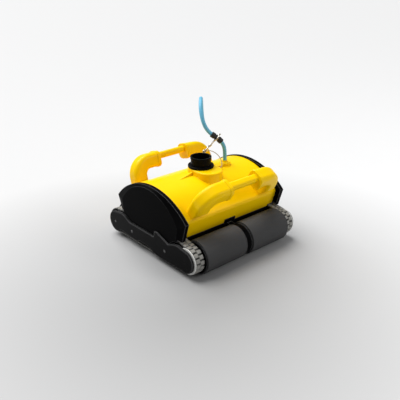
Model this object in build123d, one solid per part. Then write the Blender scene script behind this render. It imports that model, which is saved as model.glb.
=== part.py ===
from build123d import *
import math
import os

# Tracked robotic pool cleaner.
# Frame: X across the machine, front at -Y, +Z up, origin on the floor under the middle.
# All sizes in millimetres.

# ---- track and rollers -------------------------------------------------------------
axle_y = 185.0              # roller axles in front of and behind the middle
roller_radius = 54.0        # over the foam sleeve, the machine stands on these
core_radius = 46.0
core_wall = 3.0
flange_radius = 50.5        # end flanges that keep the sleeve in place
flange_width = 4.0
roller_length = 169.0
axle_pin_radius = 6.0
pin_clearance = 0.05        # radial, pins and shafts in their bores
side_gap = 0.6              # between turning faces and fixed ones
hub_radius = 14.0
hub_length = 30.0           # inner hub of a roller core, blind at its far end
pin_end_gap = 1.0
sleeve_round = 1.5

bracket_thickness = 20.0    # support disc between the two rollers of a pair
bracket_radius = 50.0

belt_inner_gap = 2.4        # roller end to the belt edge
belt_width = 31.0
belt_thickness = 3.5
cleat_height = 3.5
cleat_length = 8.0
cleat_pitch = 15.0
wheel_radius = 36.0         # belt seat on the wheel
wheel_web = 6.0
pulley_radius = 26.0        # belt seat on the drive pulley
pulley_z = 98.0
pulley_edge_gap = 0.5
belt_running_gap = 0.3
rim_radius = 42.0
rim_thickness = 3.4
belt_to_rim = 0.4

arm_thickness = 7.6
arm_boss_radius = 36.5
arm_top_z = 80.0
arm_edge_round = 2.4
outer_pin_seat = 4.0        # depth of the outer axle pins in the arms
fin_top_z = 102.0           # raised fin on the outside of each arm

# ---- case ---------------------------------------------------------------------------
case_lap = 17.5             # the case covers the belts' inner side by this much
front_nose = (156.0, 159.0)  # distance from the middle and height
rear_nose = (170.0, 152.0)
arch_top_z = 234.0
foot_y = 139.0              # lower edge of the sloping front and rear faces
foot_z = 103.0
nose_round = 14.0
shell_wall = 3.2
bulkhead_wall = 3.0
bulkhead_gap = 6.0          # belt edge to the bulkhead

turret_radius = 44.0        # obround, longer towards the front
turret_reach = 40.0
turret_depth = 28.0         # how far its wall runs below the top of the arch
turret_top_z = 251.0
turret_round = 5.0
duct_radius = 36.0
duct_wall = 3.0
duct_foot_z = 205.0

cup_x = 105.0               # cable outlet beside the turret
cup_y = -3.0
cup_radius = 20.0
cup_top_z = 244.0
gland_radius = 11.0
gland_top_z = 249.0
gland_length = 26.0

cup_round = 4.0
bridge_half = 13.0          # bridge between the turret and the cable cup
rib_reach = 118.0           # gusset on the turret's other side
rib_rise = 9.0
rib_width = 7.0
rib_turn = 6.5

notch_half = 24.0           # cut in the shell foot for the bracket head
notch_height = 13.0

shield_front_tip = (-178.0, 167.0)
shield_crest = (-7.0, 237.5)
shield_rear_tip = (178.0, 153.0)
shield_heel = (164.0, 120.0)
shield_belt_gap = 4.0       # over the cleats
shield_rim_depth = 12.5     # full outline of the shield, before the bevel
shield_depth = 20.0
shield_wall = 3.0
shield_foot_z = 81.0
shield_hip_half = 104.0     # half length of the foot between the belt runs
crease_radius = 167.0       # rounded outer face of the shield
crease_top_z = 230.5
crease_tip_z = 148.0
boss_places = ((104.0, 164.0), (46.0, 202.0))
boss_radius = 6.0

# ---- handles ------------------------------------------------------------------------
handle_half = 144.0         # leg centres
handle_bend = 44.0
handle_width = 50.0         # across the leg, in the plane of the handle
handle_depth = 52.0
handle_corner = 15.0
collar_x = 58.0             # where the moulded elbows end and the grip begins
collar_length = 13.0
collar_extra = 2.5
grip_width = 23.0
grip_depth = 27.0
grip_offset = 8.0           # grip centre above the elbow centre
front_root = (150.0, 182.0)
front_tilt = 59.0
front_rise = 72.0
front_sink = 60.0           # length of the legs below their roots, inside the arch
rear_root = (146.0, 184.0)
rear_tilt = 74.0
rear_rise = 66.0
rear_sink = 40.0
toe_rise = 18.0             # front legs cut back from here to the arch above the nose
toe_drop = 14.0
toe_depth = 8.0
rib_tuck = 3.0              # the corner rib starts this far inside the collar

# ---- outlet -------------------------------------------------------------------------
gasket_thickness = 1.0
cap_flange_radius = 43.0
cap_flange_height = 6.0
cap_neck_radius = 33.5
cap_lip_radius = 35.0
cap_lip_height = 9.0
cap_wall = 4.0
cap_height = 34.0           # from the gasket up to the lip
cap_top_z = turret_top_z + gasket_thickness + cap_height
cap_spigot_length = 14.0
cap_spigot_gap = 0.3
bore_depth = 21.0           # from the lip down to the grille
throat_radius = 27.5
grille_thickness = 3.0
grille_bar = 2.6

# ---- base ---------------------------------------------------------------------------
tray_roller_gap = 7.0       # between the tray's end walls and the rollers
tray_wall = 3.0
tray_gap = 0.5              # tray side wall inside the shell bulkhead
tray_floor_z = 28.0
tray_side_top_z = 135.0
tray_flange_thickness = 3.5
post_y = 88.0               # posts that carry the side arms, inside the belt loop
post_z = 52.0
post_radius = 8.0
lid_half_x = 92.0
lid_half_y = 108.0
lid_thickness = 4.0
lid_corner = 8.0
lid_overlap = 8.0
lid_lip = 1.2               # left of the lid over the turned latch
flap_inner_x = 18.0
flap_length = 54.0
flap_half_y = 46.0
flap_thickness = 2.0
flap_pin_radius = 2.0
flap_ear = 5.0              # ears on the lid that hold the flap's pin
flap_seat_gap = 0.3
intake_margin = 5.0
latch_y = 116.0
latch_thickness = 2.4
latch_length = 30.0
latch_width = 13.0
latch_pivot_radius = 4.0
latch_head_radius = 5.0
latch_head_height = 2.0
latch_tail = 8.0            # how far the bar reaches past its pivot
frame_half_x = 87.0
frame_half_y = 104.0
frame_top_z = 94.0
frame_bar = 4.0
bag_wall = 1.5
bag_gap = 0.3

# ---- drive --------------------------------------------------------------------------
can_half_x = 62.0
can_half_y = 52.0
can_wall = 3.0
can_rail_width = 12.0
can_rail_height = 5.0
can_rail_half_y = 130.0
can_top_z = 190.0
can_lid_thickness = 4.0
can_corner = 8.0
lid_seal_radius = 7.0
pump_radius = 30.0
pump_length = 62.0
pump_band = 1.5             # clamp band round the pump motor
pump_band_z0 = 8.0
pump_band_z1 = 46.0
pump_bore_depth = 14.0
pump_shaft_radius = 3.0
impeller_gap = 2.0
impeller_height = 18.0
impeller_hub_radius = 9.0
impeller_z = 208.0
blade_count = 3
blade_thickness = 3.0
blade_pitch = 32.0
drive_motor_radius = 21.0
drive_motor_length = 70.0
drive_band = 2.0
drive_bore_depth = 14.0
drive_flange_half = 30.0
drive_shaft_radius = 5.0
seal_radius = 9.0
float_low_y = 75.0
float_high_y = 128.0
float_half_x = 160.0
float_top_z = 170.0
float_corner = 8.0
board_thickness = 1.6
board_gap = 12.0            # pump motor to the board
board_half = 38.0

screw_radius = 2.0
screw_head_radius = 4.0
screw_head_height = 3.0
screw_seat_gap = 0.1
screw_grip = 12.0           # length of thread in the second piece
screw_hole_depth = 14.0

# ---- cable --------------------------------------------------------------------------
cable_radius = 6.5
coil_centre = (376.0, 240.0)
coil_outer_radius = 137.0
coil_inner_radius = 85.0
coil_height = 53.0
coil_foot_z = 1.5
coil_corner = 12.0
tie_width = 14.0
tie_thickness = 1.5
tie_turns = (52, 180, 332)
tail_bend_radius = 67.0     # the last stretch curls inwards inside the coil
tail_start = 95.0
tail_step = 30.0
tail_points = 6
cable_route = [
    (105, -3, 249), (105, -3, 276), (102.5, -0.5, 299), (92, 7, 319), (75, 16, 334),
    (60, 29, 348), (51, 39, 368), (49, 50, 391), (55, 64, 414), (69, 82, 432),
    (91, 106, 441), (118, 136, 435), (146, 166, 412), (171, 193, 374), (191, 211, 329),
    (207, 216, 298), (220, 206, 276), (236, 192, 259), (254, 181, 242), (266, 172, 220),
    (268, 168, 194), (267, 167, 167), (267, 165, 112), (270, 154, 62), (285, 136, 26),
    (311, 118, 9), (343, 109.5, 6.5), (376, 109.5, 6.5),
]
sleeve_radius = 10.0
sleeve_end_length = 15.0
sleeve_waist_radius = 8.0
sleeve_gap = 12.0
hook_wire = 1.6
hook_eye_radius = 4.5
hook_shank_radius = 2.2
hook_barrel_radius = 3.4
hook_foot = (40.0, 24.0, 290.0)
tether_radius = 1.3
knot_radius = 3.2
tether_lug_root = (40.0, -15.3, 236.5)
tether_lug_radius = 3.2
tether_route = [
    (56, -21.5, 236.5), (65, -25, 236.5), (73, -24, 243), (77, -17, 256),
    (74, -8, 271), (65, 2, 283), (54, 9, 290), (45, 15, 291), (38, 22.5, 287.5),
    (35.5, 30, 283.5),
]
plug_radius = 14.0
plug_length = 50.0
plug_neck_length = 16.0
plug_wall = 3.0
plug_socket_depth = 12.0
plug_nut_length = 12.0
contact_count = 3
contact_radius = 1.5
contact_circle_radius = 6.0

# ---- derived places -----------------------------------------------------------------
axle_z = roller_radius
roller_x0 = bracket_thickness / 2 + side_gap
roller_x1 = roller_x0 + roller_length
belt_x0 = roller_x1 + belt_inner_gap
case_half = belt_x0 + case_lap  # joint plane between the top shell and each end shield
belt_x1 = belt_x0 + belt_width
rim_x0 = belt_x1 + belt_to_rim
rim_x1 = rim_x0 + rim_thickness
arm_x0 = rim_x1 + side_gap
arm_x1 = arm_x0 + arm_thickness
bulkhead_x1 = belt_x0 - bulkhead_gap
bulkhead_x0 = bulkhead_x1 - bulkhead_wall
tray_half_x = bulkhead_x0 - tray_gap
tray_half_y = axle_y - roller_radius - tray_roller_gap
shield_x1 = case_half + shield_depth
shield_rim_x = case_half + shield_rim_depth
sides = {"left": -1, "right": 1}
ends = {"front": -1, "rear": 1}


# ---- helpers ------------------------------------------------------------------------
def block(x0, x1, y0, y1, z0, z1):
    centre = Pos((x0 + x1) / 2, (y0 + y1) / 2, (z0 + z1) / 2)
    return centre * Box(abs(x1 - x0), abs(y1 - y0), abs(z1 - z0))


def rod_x(x0, x1, y, z, radius):
    return Pos((x0 + x1) / 2, y, z) * Rot(0, 90, 0) * Cylinder(radius, abs(x1 - x0))


def rod_z(x, y, z0, z1, radius):
    return Pos(x, y, (z0 + z1) / 2) * Cylinder(radius, z1 - z0)


def rod_between(start, end, radius):
    start, end = Vector(start), Vector(end)
    plane = Plane(origin=start, z_dir=end - start)
    return extrude(plane * Circle(radius), (end - start).length)


def slab_x(outline, x0, x1):
    """A face drawn in Y and Z, extruded along X."""
    plane = Plane(origin=(x0, 0, 0), x_dir=(0, 1, 0), z_dir=(1, 0, 0))
    return extrude(plane * outline, x1 - x0)


def on_side(shape, sign):
    """The right-hand shape as it is, or its mirror image on the left."""
    return shape if sign > 0 else mirror(shape, Plane.YZ)


def at_end(shape, sign):
    """The rear shape as it is, or its mirror image at the front."""
    return shape if sign > 0 else mirror(shape, Plane.XZ)


def save(shape, name):
    export_step(shape, "parts/" + name + ".step")


# ---- outlines -----------------------------------------------------------------------
def arch_face():
    """End view of the top shell: an arch over two sloping end faces."""
    front = ThreePointArc((-front_nose[0], front_nose[1]), arch_point(-1), (0, arch_top_z))
    rear = ThreePointArc((0, arch_top_z), arch_point(1), rear_nose)
    foot = Polyline(rear_nose, (foot_y, foot_z), (-foot_y, foot_z),
                    (-front_nose[0], front_nose[1]))
    return make_face(front + rear + foot)


def arch_circle(end):
    """Radius of the arch on one side of its top, and the height of its centre."""
    nose_y, nose_z = front_nose if end < 0 else rear_nose
    drop = arch_top_z - nose_z
    radius = (nose_y**2 + drop**2) / (2 * drop)
    return radius, arch_top_z - radius


def arch_point(end):
    """A point of the arch half-way down to the nose."""
    radius, centre_z = arch_circle(end)
    y = 0.6 * (front_nose if end < 0 else rear_nose)[0]
    return end * y, centre_z + math.sqrt(radius**2 - y**2)


def rounded_arch():
    face = arch_face()
    tips = face.vertices().sort_by(Axis.X)
    return fillet([tips[0], tips[-1]], nose_round)


def shield_outline():
    """Full outline of an end shield, down to the side arm."""
    arc = ThreePointArc(shield_front_tip, shield_crest, shield_rear_tip)
    under = [shield_heel, (158, 97), (128, 94), (shield_hip_half, shield_foot_z)]
    mirrored = [(-y, z) for y, z in reversed(under)]
    return make_face(arc + Polyline(shield_rear_tip, *under, *mirrored, shield_front_tip))


def crease_outline():
    """Smaller outline of the shield's flat outer face."""
    centre_z = crease_top_z - crease_radius
    tip_y = math.sqrt(crease_radius**2 - (crease_tip_z - centre_z)**2)
    top = (0, crease_top_z)
    arc = ThreePointArc((-tip_y, crease_tip_z), top, (tip_y, crease_tip_z))
    under = [(tip_y, crease_tip_z), (140, 118), (136, 101), (122, 96),
             (102, shield_foot_z)]
    mirrored = [(-y, z) for y, z in reversed(under)]
    return make_face(arc + Polyline(*under, *mirrored))


def belt_outline(growth):
    """Outline round the two wheels and the drive pulley, grown from the belt seats."""
    circles = (Pos(-axle_y, axle_z) * Circle(wheel_radius + growth)).edges()
    circles += (Pos(axle_y, axle_z) * Circle(wheel_radius + growth)).edges()
    circles += (Pos(0, pulley_z) * Circle(pulley_radius + growth)).edges()
    return make_hull(circles)


# ---- case ---------------------------------------------------------------------------
def top_shell():
    outer = slab_x(rounded_arch(), -case_half, case_half)
    inside = offset(arch_face(), -shell_wall, kind=Kind.INTERSECTION)
    floor_cut = Pos(0, foot_z) * Rectangle(2 * (foot_y - shell_wall), 4 * shell_wall)
    cavity = slab_x(inside, -case_half, case_half) + slab_x(floor_cut, -case_half, case_half)
    shell = outer - cavity
    for sign in sides.values():
        x0, x1 = sorted((sign * bulkhead_x0, sign * bulkhead_x1))
        wall = slab_x(arch_face(), x0, x1)
        slot_half = drive_shaft_radius + side_gap
        shell += wall & outer
        shell -= block(x0, x1, -slot_half, slot_half, foot_z, foot_z + 2 * slot_half)
    # turret with the outlet duct inside
    turret = turret_block(turret_radius, arch_top_z - turret_depth, turret_top_z)
    top_edges = turret.faces().sort_by(Axis.Z)[-1].edges()
    shell += fillet(top_edges, turret_round)
    duct_outer = duct_radius + duct_wall
    hollow = turret_block(turret_radius - shell_wall, duct_foot_z - 1,
                          turret_top_z - shell_wall)
    shell -= hollow - rod_z(0, 0, duct_foot_z - 2, turret_top_z, duct_outer)
    shell += rod_z(0, 0, duct_foot_z, turret_top_z - 1, duct_outer)
    shell -= rod_z(0, 0, duct_foot_z - 1, turret_top_z + 1, duct_radius)
    # cable cup with the bridge that joins it to the turret
    cup = rod_z(cup_x, cup_y, arch_top_z - 18, cup_top_z, cup_radius)
    bridge = block(turret_radius - 4, cup_x, cup_y - bridge_half, cup_y + bridge_half,
                   arch_top_z - 12, cup_top_z - cup_round)
    cup = fillet(cup.edges().sort_by(Axis.Z)[-1:], cup_round) + bridge
    shell += cup - turret_block(turret_radius - 1, 0, turret_top_z + 1)
    shell -= rod_z(cup_x, cup_y, arch_top_z - 30, cup_top_z + 1, gland_radius)
    # gusset rib on the other side of the turret
    rib_root = arch_top_z - 0.9 * shell_wall
    rib = make_face(Polyline((-rib_reach, rib_root), (-turret_radius + 3, arch_top_z + rib_rise),
                             (-turret_radius + 3, rib_root), close=True))
    rib = Pos(0, rib_width / 2, 0) * extrude(Plane.XZ * rib, rib_width)
    shell += Rot(0, 0, rib_turn) * rib
    # eyelet lug for the tether
    shell += rod_between(tether_lug_root, tether_route[0], tether_lug_radius)
    # screw holes
    for seat, normal in handle_seats():
        shell -= rod_between(seat - normal * 8, seat + normal * 8, screw_radius)
    for sign in sides.values():
        for y, z in shield_bosses():
            hole = rod_x(bulkhead_x0 - 1, bulkhead_x1 + 1, y, z, screw_radius)
            shell -= on_side(hole, sign)
    # notches over the roller brackets
    for sign in ends.values():
        y0, y1 = sorted((sign * (rear_nose[0] + 5), sign * (foot_y - 2 * shell_wall)))
        shell -= block(-notch_half, notch_half, y0, y1, foot_z - 1, foot_z + notch_height)
    # wheel arches over the belts
    for sign in sides.values():
        x0, x1 = sorted((sign * bulkhead_x1, sign * case_half))
        shell -= slab_x(belt_arch(), x0, x1)
    return shell


def turret_block(radius, z0, z1):
    outline = make_hull((Circle(radius) + Pos(0, -turret_reach) * Circle(radius)).edges())
    return Pos(0, 0, z0) * extrude(outline, z1 - z0)


def belt_arch():
    """Outline that stays clear of the running belt and its cleats."""
    return belt_outline(belt_thickness + cleat_height + shield_belt_gap)


def end_shield(sign):
    outline = shield_outline()
    crease = crease_outline()
    rim = slab_x(outline, case_half, shield_rim_x)
    plane0 = Plane(origin=(shield_rim_x, 0, 0), x_dir=(0, 1, 0), z_dir=(1, 0, 0))
    plane1 = Plane(origin=(shield_x1, 0, 0), x_dir=(0, 1, 0), z_dir=(1, 0, 0))
    bevel = loft([plane0 * outline, plane1 * crease], ruled=True)
    shield = rim + bevel
    rim_hollow = offset(outline, -shield_wall, kind=Kind.INTERSECTION)
    face_hollow = offset(crease, -shield_wall, kind=Kind.INTERSECTION)
    shield -= slab_x(rim_hollow, case_half, shield_rim_x - 1)
    shield -= slab_x(face_hollow, case_half, shield_x1 - shield_wall)
    shield -= slab_x(belt_arch(), case_half, rim_x1)
    shield -= block(case_half, shield_x1 - shield_wall, -96, 96, 0, shield_foot_z + 8)
    for y, z in shield_bosses():
        shield += rod_x(bulkhead_x1, shield_x1 - shield_wall, y, z, boss_radius)
        shield -= rod_x(bulkhead_x1 - 1, bulkhead_x1 + screw_hole_depth, y, z, screw_radius)
    return on_side(shield, sign)


def shield_bosses():
    return [(way * y, z) for y, z in boss_places for way in (-1, 1)]


def case_screws():
    screws = []
    for sign in sides.values():
        for y, z in shield_bosses():
            screw = rod_x(bulkhead_x0, bulkhead_x1 + screw_grip, y, z, screw_radius)
            screw += rod_x(bulkhead_x0 - screw_head_height, bulkhead_x0, y, z, screw_head_radius)
            screws.append(on_side(screw, sign))
    for seat, normal in handle_seats():
        inside = seat - normal * (shell_wall + screw_seat_gap)
        screw = rod_between(inside, seat + normal * screw_grip, screw_radius)
        screw += rod_between(inside - normal * screw_head_height, inside, screw_head_radius)
        screws.append(screw)
    return Compound(children=screws)


# ---- handles ------------------------------------------------------------------------
def handle(end, root, tilt, rise, sink, filled):
    """A U-shaped carrying handle: fat moulded elbows, stepped collars and a thin grip.

    filled says whether a rib closes the inner corner of the elbow.
    """
    angle = math.radians(tilt)
    up = Vector(0, end * math.cos(angle), math.sin(angle))
    origin = Vector(0, end * root[0], root[1])
    plane = Plane(origin=origin, x_dir=(1, 0, 0), z_dir=Vector(1, 0, 0).cross(up))
    leg = Line((handle_half, -sink), (handle_half, rise - handle_bend))
    bend = CenterArc((handle_half - handle_bend, rise - handle_bend), handle_bend, 0, 90)
    reach = Line((handle_half - handle_bend, rise), (collar_x + collar_length / 2, rise))
    path = plane * (leg + bend + reach)
    start = plane.from_local_coords(Vector(handle_half, -sink, 0))
    section_plane = Plane(origin=start, x_dir=(1, 0, 0), z_dir=up)
    section = section_plane * RectangleRounded(handle_width, handle_depth, handle_corner)
    elbow = sweep(section, path)
    if filled:
        inner_x, inner_z = collar_x + collar_length - rib_tuck, rise - handle_width / 2
        run = handle_half - handle_width / 2 - inner_x
        shift = handle_width / 2 / math.sqrt(2)
        top = plane.from_local_coords(Vector(inner_x + shift, inner_z + shift, 0))
        low = plane.from_local_coords(Vector(inner_x + run + shift, inner_z - run + shift, 0))
        rib_plane = Plane(origin=top, x_dir=plane.z_dir, z_dir=low - top)
        rib = rib_plane * RectangleRounded(handle_depth, handle_width, handle_corner)
        elbow += extrude(rib, (low - top).length)

    def across(x0, x1, height, width, depth, corner):
        centre = plane.from_local_coords(Vector(x0, height, 0))
        cross = Plane(origin=centre, x_dir=up, z_dir=(1, 0, 0))
        return extrude(cross * RectangleRounded(width, depth, corner), x1 - x0)

    collar = across(collar_x, collar_x + collar_length, rise, handle_width + 2 * collar_extra,
                    handle_depth + 2 * collar_extra, handle_corner + collar_extra)
    collar = fillet(collar.edges().filter_by(Plane.YZ), 3)
    half = elbow + collar
    grip = across(-collar_x - 2, collar_x + 2, rise + grip_offset, grip_width, grip_depth, 9)
    body = half + mirror(half, Plane.YZ) + grip
    body -= slab_x(rounded_arch(), -case_half - 60, case_half + 60)
    if filled:
        slope = Vector(handle_depth / 2 - toe_depth, toe_rise + toe_drop)
        high = Vector(toe_depth, -toe_drop) + slope * 1.5
        low = Vector(toe_depth, -toe_drop) - slope
        toe = make_face(Polyline(high, low, (low.X, -2 * sink), (high.X, -2 * sink), close=True))
        toe_plane = Plane(origin=origin, x_dir=plane.z_dir, z_dir=(-1, 0, 0))
        body -= extrude(toe_plane * toe, case_half, both=True)
    for seat, normal in handle_seats():
        body -= rod_between(seat - normal, seat + normal * screw_hole_depth, screw_radius)
    return body


def handle_seats():
    """Points on the arch under the handle legs, each with the outward normal there."""
    seats = []
    for end, root in ((-1, front_root), (1, rear_root)):
        arch_radius, centre_z = arch_circle(end)
        normal = Vector(0, end * root[0], root[1] - centre_z).normalized()
        for x in (-handle_half, handle_half):
            seats.append((Vector(x, 0, centre_z) + normal * arch_radius, normal))
    return seats


# ---- side arms ----------------------------------------------------------------------
def side_arm(sign):
    under = [(-axle_y, 20), (-60, 17), (-28, 20), (-2, 32), (45, 33), (62, 25), (75, 24),
             (150, 31), (axle_y, axle_z - arm_boss_radius)]
    over = [(axle_y, axle_z + arm_boss_radius), (150, 97), (128, 93), (105, arm_top_z),
            (-100, arm_top_z), (-128, 92), (-150, 96), (-axle_y, axle_z + arm_boss_radius)]
    bar = make_face(Polyline(*under, *over, close=True))
    outline = bar + Pos(-axle_y, axle_z) * Circle(arm_boss_radius)
    outline += Pos(axle_y, axle_z) * Circle(arm_boss_radius)
    arm = slab_x(outline, arm_x0, arm_x1)
    fin = make_face(Polyline((-104, 60), (-104, arm_top_z + 3), (-47, fin_top_z),
                             (-36, fin_top_z - 3), (-26, 60), close=True))
    arm += slab_x(fin, shield_x1 + side_gap, arm_x1)
    outer_edges = arm.edges().filter_by(lambda e: e.center().X > arm_x1 - 0.01)
    arm = fillet(outer_edges, arm_edge_round)
    for y in (-axle_y, axle_y):
        arm -= rod_x(arm_x0 - 1, arm_x0 + outer_pin_seat, y, axle_z, axle_pin_radius)
    for y in (-post_y, post_y):
        arm -= rod_x(arm_x0 - 1, arm_x1 + 1, y, post_z, screw_radius)
        arm -= rod_x(arm_x1 - screw_head_height, arm_x1 + 1, y, post_z, screw_head_radius)
    return on_side(arm, sign)


def arm_screws():
    screws = []
    for sign in sides.values():
        for y in (-post_y, post_y):
            screw = rod_x(arm_x0 - screw_grip, arm_x1 - screw_head_height, y, post_z,
                          screw_radius)
            screw += rod_x(arm_x1 - screw_head_height, arm_x1 - 0.4, y, post_z,
                           screw_head_radius)
            screws.append(on_side(screw, sign))
    return Compound(children=screws)


# ---- outlet -------------------------------------------------------------------------
def outlet_cap():
    foot = turret_top_z + gasket_thickness
    bore = cap_neck_radius - cap_wall
    flange = rod_z(0, 0, foot, foot + cap_flange_height, cap_flange_radius)
    flange = fillet(flange.edges().sort_by(Axis.Z)[-1:], 2)
    spigot = rod_z(0, 0, foot - cap_spigot_length, foot, duct_radius - cap_spigot_gap)
    neck = rod_z(0, 0, foot, cap_top_z, cap_neck_radius)
    lip = rod_z(0, 0, cap_top_z - cap_lip_height, cap_top_z, cap_lip_radius)
    lip = chamfer(lip.edges().sort_by(Axis.Z)[:1], 1.4)
    cap = flange + spigot + neck + lip
    cap -= rod_z(0, 0, cap_top_z - bore_depth, cap_top_z + 1, bore)
    cap -= rod_z(0, 0, foot - cap_spigot_length - 1, cap_top_z, throat_radius)
    return cap


def outlet_gasket():
    ring = rod_z(0, 0, turret_top_z, turret_top_z + gasket_thickness, cap_flange_radius - 1)
    return ring - rod_z(0, 0, turret_top_z - 1, turret_top_z + 2, duct_radius)


def outlet_grille():
    """Round grille in the throat, flush with the floor of the bore."""
    top = cap_top_z - bore_depth
    z0 = top - grille_thickness
    grille = rod_z(0, 0, z0, top, throat_radius)
    grille -= rod_z(0, 0, z0 - 1, top + 1, throat_radius - grille_bar)
    ring = throat_radius * 0.6
    grille += rod_z(0, 0, z0, top, ring) - rod_z(0, 0, z0 - 1, top + 1, ring - grille_bar)
    grille += rod_z(0, 0, z0, top, throat_radius * 0.25)
    for turn in (0, 60, 120):
        grille += Rot(0, 0, turn) * block(-throat_radius + 1, throat_radius - 1,
                                          -grille_bar / 2, grille_bar / 2, z0, top)
    return grille


def cable_gland():
    base = gland_top_z - gland_length
    body = rod_z(cup_x, cup_y, base, cup_top_z, gland_radius)
    cone = Cone(gland_radius, cable_radius + 2, gland_top_z - cup_top_z)
    cone = Pos(cup_x, cup_y, (cup_top_z + gland_top_z) / 2) * cone
    return body + cone


# ---- base ---------------------------------------------------------------------------
def bottom_tray():
    outer = block(-tray_half_x, tray_half_x, -tray_half_y, tray_half_y, tray_floor_z, foot_z)
    for sign in sides.values():
        x0, x1 = sorted((sign * tray_half_x, sign * (tray_half_x - tray_wall)))
        outer += block(x0, x1, -tray_half_y, tray_half_y, foot_z - 5, tray_side_top_z)
    inner_x, inner_y = tray_half_x - tray_wall, tray_half_y - tray_wall
    tray = outer - block(-inner_x, inner_x, -inner_y, inner_y, tray_floor_z + tray_wall,
                         tray_side_top_z + 1)
    hole_x, hole_y = lid_half_x - lid_overlap, lid_half_y - lid_overlap
    tray -= block(-hole_x, hole_x, -hole_y, hole_y, tray_floor_z - 1,
                  tray_floor_z + tray_wall + 1)
    for sign in ends.values():
        y0, y1 = sorted((sign * inner_y, sign * foot_y))
        tray += block(-tray_half_x, tray_half_x, y0, y1, foot_z - tray_flange_thickness, foot_z)
        y0, y1 = sorted((sign * (foot_y - 10), sign * (foot_y + 10)))
        gap = notch_half + side_gap
        tray -= block(-gap, gap, y0, y1, foot_z - 10, foot_z + 1)
        tray -= rod_z(0, sign * latch_y, tray_floor_z - 1, tray_floor_z + tray_wall + 1,
                      latch_pivot_radius + pin_clearance)
    for sign in sides.values():
        for y in (-post_y, post_y):
            post = rod_x(tray_half_x - 1, arm_x0, y, post_z, post_radius)
            post -= rod_x(arm_x0 - screw_hole_depth, arm_x0 + 1, y, post_z, screw_radius)
            tray += on_side(post, sign)
        tray -= on_side(rod_x(inner_x - 1, tray_half_x + 1, 0, pulley_z, seal_radius), sign)
    return tray


def bottom_lid():
    z0, z1 = tray_floor_z - lid_thickness, tray_floor_z
    lid = block(-lid_half_x, lid_half_x, -lid_half_y, lid_half_y, z0, z1)
    lid = fillet(lid.edges().filter_by(Axis.Z), lid_corner)
    sweep_radius = latch_length - latch_tail + side_gap
    for sign in ends.values():
        lid -= rod_z(0, sign * latch_y, z0 - 1, z1 - lid_lip, sweep_radius)
    pin_z = flap_pin_z()
    for sign in sides.values():
        slot = block(flap_inner_x + intake_margin, flap_inner_x + flap_length - intake_margin,
                     -flap_half_y + intake_margin, flap_half_y - intake_margin, z0 - 1, z1 + 1)
        lid -= on_side(slot, sign)
        for y in (-1, 1):
            y0, y1 = sorted((y * (flap_half_y + side_gap), y * (flap_half_y + flap_ear)))
            ear = block(flap_inner_x - flap_ear, flap_inner_x + flap_ear, y0, y1, z1 - 1,
                        pin_z + flap_ear)
            bore = Pos(flap_inner_x, (y0 + y1) / 2, pin_z) * Rot(90, 0, 0)
            ear -= bore * Cylinder(flap_pin_radius + pin_clearance, 3 * flap_ear)
            lid += on_side(ear, sign)
    return lid


def flap_pin_z():
    return tray_floor_z + flap_seat_gap + flap_pin_radius


def intake_flap(sign):
    z0 = tray_floor_z + flap_seat_gap
    plate = block(flap_inner_x, flap_inner_x + flap_length, -flap_half_y, flap_half_y, z0,
                  z0 + flap_thickness)
    pin = Pos(flap_inner_x, 0, flap_pin_z()) * Rot(90, 0, 0)
    flap = plate + pin * Cylinder(flap_pin_radius, 2 * (flap_half_y + flap_ear))
    return on_side(flap, sign)


def turn_latch(sign):
    top = tray_floor_z - lid_lip - flap_seat_gap
    z0 = top - latch_thickness
    end_y = latch_y + latch_tail
    bar = block(-latch_width / 2, latch_width / 2, end_y - latch_length, end_y, z0, top)
    bar = fillet(bar.edges().filter_by(Axis.Z), 5)
    head_z = tray_floor_z + tray_wall + flap_seat_gap
    stem = rod_z(0, latch_y, z0, head_z, latch_pivot_radius)
    head = rod_z(0, latch_y, head_z, head_z + latch_head_height, latch_head_radius)
    return at_end(bar + stem + head, sign)


def filter_frame():
    floor = tray_floor_z + tray_wall
    x, y, bar = frame_half_x, frame_half_y, frame_bar
    cage = block(-x, x, -y, y, floor, frame_top_z)
    cage -= block(-x + bar, x - bar, -y + bar, y - bar, floor - 1, frame_top_z + 1)
    cage -= block(-x - 1, x + 1, -y + 2 * bar, y - 2 * bar, floor + bar, frame_top_z - bar)
    cage -= block(-x + 2 * bar, x - 2 * bar, -y - 1, y + 1, floor + bar, frame_top_z - bar)
    return cage


def filter_bag():
    floor = tray_floor_z + tray_wall
    x, y = frame_half_x + bag_gap, frame_half_y + bag_gap
    top = frame_top_z
    bag = block(-x - bag_wall, x + bag_wall, -y - bag_wall, y + bag_wall, floor + 1,
                top + bag_wall)
    return bag - block(-x, x, -y, y, floor, top)


# ---- roller brackets ----------------------------------------------------------------
def roller_bracket(sign):
    half = bracket_thickness / 2
    disc = rod_x(-half, half, axle_y, axle_z, bracket_radius)
    web_top = foot_z - tray_flange_thickness - 0.3
    web = make_face(Polyline((tray_half_y, 40), (axle_y - 30, 20), (axle_y, 40),
                             (axle_y, web_top - 8), (foot_y + 4, web_top), (tray_half_y, web_top),
                             close=True))
    head = make_face(Polyline((foot_y - 9, foot_z - 5), (foot_y + 1, foot_z - 5),
                              (foot_y + 5, foot_z + notch_height - 0.5),
                              (foot_y - 2, foot_z + notch_height - 0.5),
                              (foot_y - 2, foot_z + 0.3), (foot_y - 9, foot_z + 0.3), close=True))
    bracket = disc + slab_x(web, -half, half)
    bracket += slab_x(head, -notch_half + 0.5, notch_half - 0.5)
    bracket -= rod_x(-half - 1, half + 1, axle_y, axle_z, axle_pin_radius)
    return at_end(bracket, sign)


def inner_axle_pins():
    reach = roller_x0 + hub_length - pin_end_gap
    return Compound(children=[rod_x(-reach, reach, s * axle_y, axle_z, axle_pin_radius)
                              for s in ends.values()])


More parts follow.
